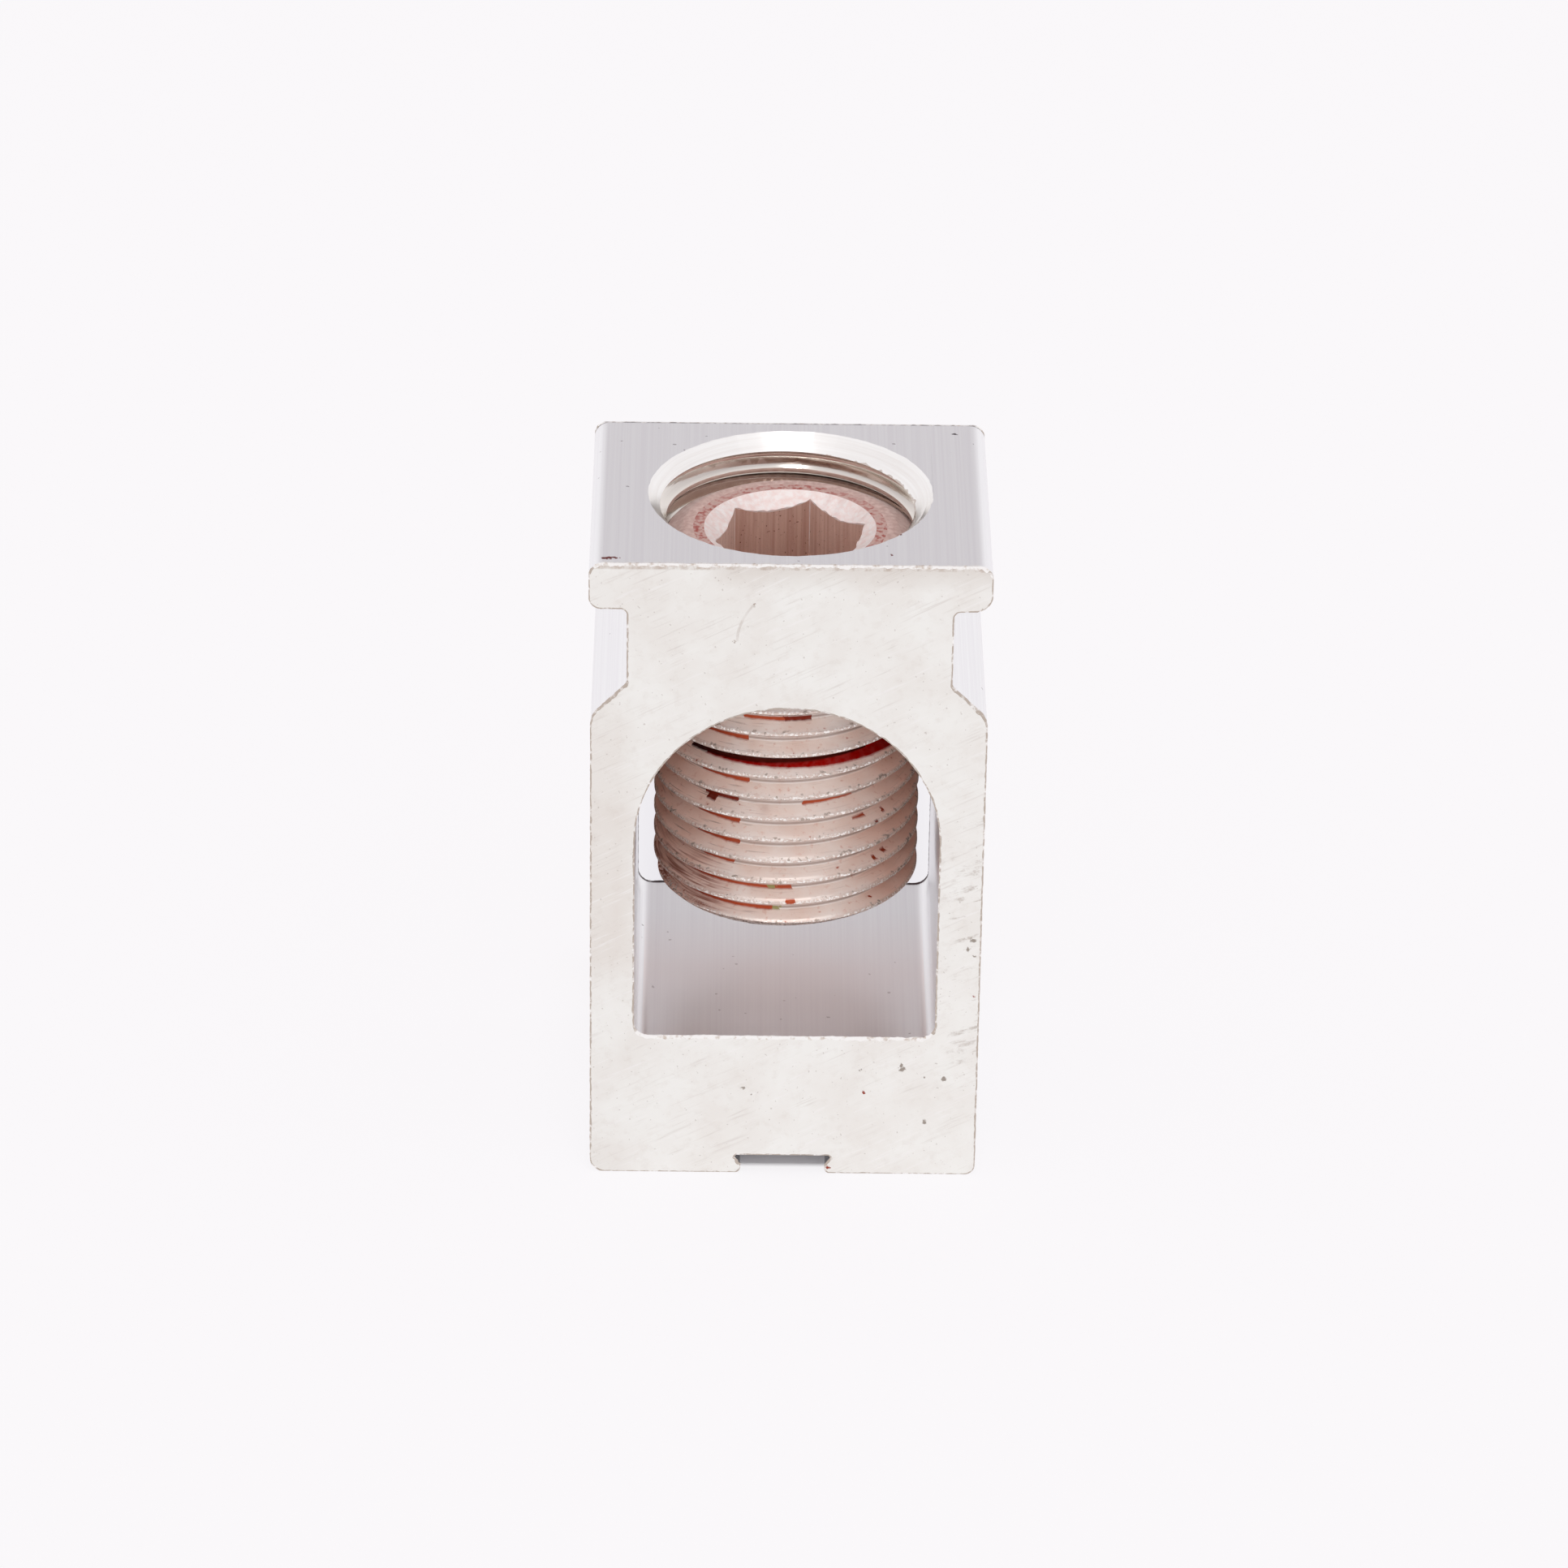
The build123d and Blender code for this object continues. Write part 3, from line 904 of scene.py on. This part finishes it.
        middle = (first + last) / 2 + 2.5
        along = add(tree, MATH, swayed_degrees, middle, (last - first) / 2, operation="COMPARE")[0]
        off_middle = add(tree, MATH, swayed_turns, turn, operation="SUBTRACT")[0]
        apart = add(tree, MATH, off_middle, operation="ABSOLUTE")[0]
        edge = add(tree, RANGE, degrees, first, last, narrow, wide)[0]
        spare = add(tree, MATH, edge, apart, operation="SUBTRACT")[0]
        across = add(tree, RANGE, spare, -0.03, 0.03)[0]
        covered = add(tree, MATH, along, across, operation="MULTIPLY")[0]
        there = add(tree, MATH, covered, patchy, operation="MULTIPLY")[0]
        colour = add(tree, MIX, there, colour, linear(tint), data_type="RGBA")[0]

    # The sloped top is dusty, with a rust-speckled ring round the paler countersink
    on_top = add(tree, RANGE, z, screw_top - 1.0, screw_top - 0.85)[0]
    dust = add(tree, RANGE, fine, 0.35, 0.65)[0]
    dusty = add(tree, MIX, dust, linear("#E7CFC8"), linear("#F4E3DD"), data_type="RGBA")[0]
    colour = add(tree, MIX, on_top, colour, dusty, data_type="RGBA")[0]
    ring_near = add(tree, MATH, reach, 5.4, 0.32, operation="COMPARE")[0]
    ring_top = add(tree, MATH, ring_near, on_top, operation="MULTIPLY")[0]
    rust_spots = add(tree, RANGE, fine, 0.45, 0.62, 0.0, 0.8)[0]
    rust_clouds = add(tree, RANGE, cloud, 0.40, 0.54, 0.6, 1.0)[0]
    spotted = add(tree, MATH, rust_spots, rust_clouds, operation="MULTIPLY")[0]
    rusty = add(tree, MATH, ring_top, spotted, operation="MULTIPLY")[0]
    colour = add(tree, MIX, rusty, colour, linear("#C4574B"), data_type="RGBA")[0]
    in_mouth = add(tree, MATH, reach, socket_mouth - 0.02, operation="LESS_THAN")[0]
    mouth_colour = add(tree, MIX, dust, linear("#FBECE8"), linear("#FFFAF8"), data_type="RGBA")[0]
    colour = add(tree, MIX, in_mouth, colour, mouth_colour, data_type="RGBA")[0]

    # The socket's walls are browner, with pits and faint lines from the punch
    cone_low = screw_top - socket_mouth * mouth_slope - 0.08
    cone = add(tree, MATH, reach, mouth_slope, cone_low, operation="MULTIPLY_ADD")[0]
    below_mouth = add(tree, MATH, z, cone, operation="LESS_THAN")[0]
    inside = add(tree, MATH, reach, socket_corner + 0.02, operation="LESS_THAN")[0]
    in_socket = add(tree, MATH, below_mouth, inside, operation="MULTIPLY")[0]
    above_tip = add(tree, MATH, z, screw_tip + 1, operation="GREATER_THAN")[0]
    in_wall = add(tree, MATH, in_socket, above_tip, operation="MULTIPLY")[0]
    upright = add(tree, "ShaderNodeMapping", place, Scale=(5, 5, 0.15))[0]
    punch = add(tree, NOISE, upright, Scale=1.0, Detail=2.0)[0]
    streak = add(tree, RANGE, punch, 0.35, 0.65)[0]
    wall = add(tree, MIX, streak, linear("#E6C9BC"), linear("#F1DBD0"), data_type="RGBA")[0]
    pit = add(tree, RANGE, tiny, 0.70, 0.73)[0]
    pitted = add(tree, MIX, pit, wall, linear("#8A4A3A"), data_type="RGBA")[0]
    colour = add(tree, MIX, in_wall, colour, pitted, data_type="RGBA")[0]
    tree.links.new(colour, shader.inputs["Base Color"])

    duller = add(tree, RANGE, off_front, 20.0, 55.0, 0.55, 1.0)[0]
    worn_shine = add(tree, RANGE, worn_white_and_painted_glint, 0.0, 1.0, duller, 0.26)[0]
    on_mouth = add(tree, MATH, in_mouth, in_wall, operation="SUBTRACT")[0]
    shine = add(tree, RANGE, on_mouth, 0.0, 1.0, worn_shine, 0.75)[0]
    tree.links.new(shine, shader.inputs["Roughness"])
    knocks = add(tree, MATH, tiny, fine, operation="ADD")[0]
    relief = add(tree, "ShaderNodeBump", Height=knocks, Strength=0.35, Distance=0.03 * mm)[0]
    tree.links.new(relief, shader.inputs["Normal"])
    return material


screw.data.materials.clear()
screw.data.materials.append(worn_copper_plate())
for face in screw.data.polygons:
    face.use_smooth = True
    face.material_index = 0
screw.data.set_sharp_from_angle(angle=math.radians(28))
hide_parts("clamp_screw")
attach(screw, "screw")

# The lug stands on white paper, which shows as a white ground to the camera and to the
# metal. It keeps the lug's own shadow along the feet, and right behind the lug, where the
# window and the neck show it, a painted shadow makes it a little greyer.

floor_mesh = bpy.data.meshes.new("floor")
floor_corners = [(-3, -3, 0), (3, -3, 0), (3, 3, 0), (-3, 3, 0)]
floor_mesh.from_pydata(floor_corners, [], [(0, 1, 2, 3)])
floor = mesh_object("floor", floor_mesh)
paper = bpy.data.materials.new("white_paper")
paper.use_nodes = True
paper_tree = paper.node_tree
paper_tree.nodes.clear()

# To the camera and in the metal the open paper is 85% white ground, and the rest takes shadow
white_share = 0.85
ray = add(paper_tree, "ShaderNodeLightPath")
seen = add(paper_tree, MATH, ray[0], ray[3], operation="MAXIMUM")[0]
share = add(paper_tree, MATH, seen, white_share, operation="MULTIPLY")[0]
dull = add(paper_tree, "ShaderNodeBsdfDiffuse", linear("#F2F0F1"))[0]
spot = add(paper_tree, "ShaderNodeSeparateXYZ", add(paper_tree, "ShaderNodeTexCoord")[3])

# Under the lug, to just inside its outline, the paper is plain and takes the whole shadow
aside = add(paper_tree, MATH, spot[0], operation="ABSOLUTE")[0]
ahead = add(paper_tree, MATH, spot[1], operation="ABSOLUTE")[0]
beside = add(paper_tree, RANGE, aside, (leg_edge - 0.3) * mm, leg_edge * mm)[0]
before = add(paper_tree, RANGE, ahead, (saw_face - 1.15) * mm, (saw_face - 0.7) * mm)[0]
open_ground = add(paper_tree, MATH, beside, before, operation="MAXIMUM")[0]
lit_share = add(paper_tree, MATH, share, open_ground, operation="MULTIPLY")[0]

# A painted shadow greys the paper from the lug's rear edge and fades out behind it
fade_start, fade_end = 45, 80
behind = add(paper_tree, MATH, spot[1], saw_face * mm, operation="GREATER_THAN")[0]
narrow = add(paper_tree, RANGE, aside, (leg_edge + 0.5) * mm, (window_half - 1) * mm)[0]
near = add(paper_tree, RANGE, spot[1], fade_end * mm, fade_start * mm)[0]
painted_shadow = add(paper_tree, MATH, behind, narrow, operation="MULTIPLY")[0]
painted_shadow = add(paper_tree, MATH, painted_shadow, near, operation="MULTIPLY")[0]
paper_white, paper_shadow_grey = linear("#FDFBFD"), linear("#EDEBF0")
paper_colour = add(paper_tree, MIX, painted_shadow, paper_white, paper_shadow_grey, data_type="RGBA")[0]
glow = add(paper_tree, "ShaderNodeEmission", paper_colour, 1.0)[0]
mixed = add(paper_tree, "ShaderNodeMixShader", lit_share, dull, glow)[0]
add(paper_tree, "ShaderNodeOutputMaterial", mixed)
floor.data.materials.append(paper)

# The light is a white tent with a darker patch high at the back, which the metal mirrors
# as soft grey, and one small lamp above the front that gives the small highlights.

world = bpy.data.worlds.new("light_tent")
bpy.context.scene.world = world
world.use_nodes = True
world_tree = world.node_tree
world_tree.nodes.clear()
direction = add(world_tree, "ShaderNodeTexCoord")[0]
patch = add(world_tree, "ShaderNodeVectorMath", direction, (0, 0.5, 0.866), operation="DOT_PRODUCT")[0]
dimmed = add(
    world_tree,
    RANGE,
    patch,
    math.cos(math.radians(50)),
    math.cos(math.radians(12)),
    interpolation_type="SMOOTHSTEP",
)[0]
tent = add(world_tree, MIX, dimmed, linear("#FAF8FA"), linear("#B5AFB2"), data_type="RGBA")[0]
sky = add(world_tree, "ShaderNodeBackground", tent, 1.0)[0]
add(world_tree, "ShaderNodeOutputWorld", sky)

lamp_light = bpy.data.lights.new("lamp", "AREA")
lamp_light.shape = "RECTANGLE"
lamp_light.size = 0.06
lamp_light.size_y = 0.045
lamp_light.energy = 0.5
lamp = bpy.data.objects.new("lamp", lamp_light)
lamp.location = (0.01, -0.10, 0.62)
lamp.rotation_euler = (Vector((0, 0, 0.03)) - lamp.location).to_track_quat("-Z", "Y").to_euler()
bpy.context.scene.collection.objects.link(lamp)

# The camera looks down on the lug's front from some way off, a little from the left, with
# a long lens and a slight roll. Its distance and aim are in millimetres.

elevation = math.radians(28.3)
yaw = math.radians(0.608)
roll = math.radians(0.866)
distance = 432.6
aim = Vector((-0.131, 0.682, 21.124))
focal_share = 8860.1 / 1932
turn = Matrix.Rotation(-yaw, 3, "Z")
across = turn @ Vector((1, 0, 0))
upward = turn @ Vector((0, math.sin(elevation), math.cos(elevation)))
forward = turn @ Vector((0, math.cos(elevation), -math.sin(elevation)))
camera_data = bpy.data.cameras.new("camera")
camera_data.sensor_width = 36
camera_data.lens = focal_share * camera_data.sensor_width
camera_data.clip_start = 0.01
camera = bpy.data.objects.new("camera", camera_data)
right = math.cos(roll) * across + math.sin(roll) * upward
up = -math.sin(roll) * across + math.cos(roll) * upward
axes = Matrix((right, up, -forward)).transposed().to_4x4()
camera.matrix_world = Matrix.Translation((aim - forward * distance) * mm) @ axes
bpy.context.scene.collection.objects.link(camera)
bpy.context.scene.camera = camera
bpy.context.scene.view_settings.view_transform = "Standard"
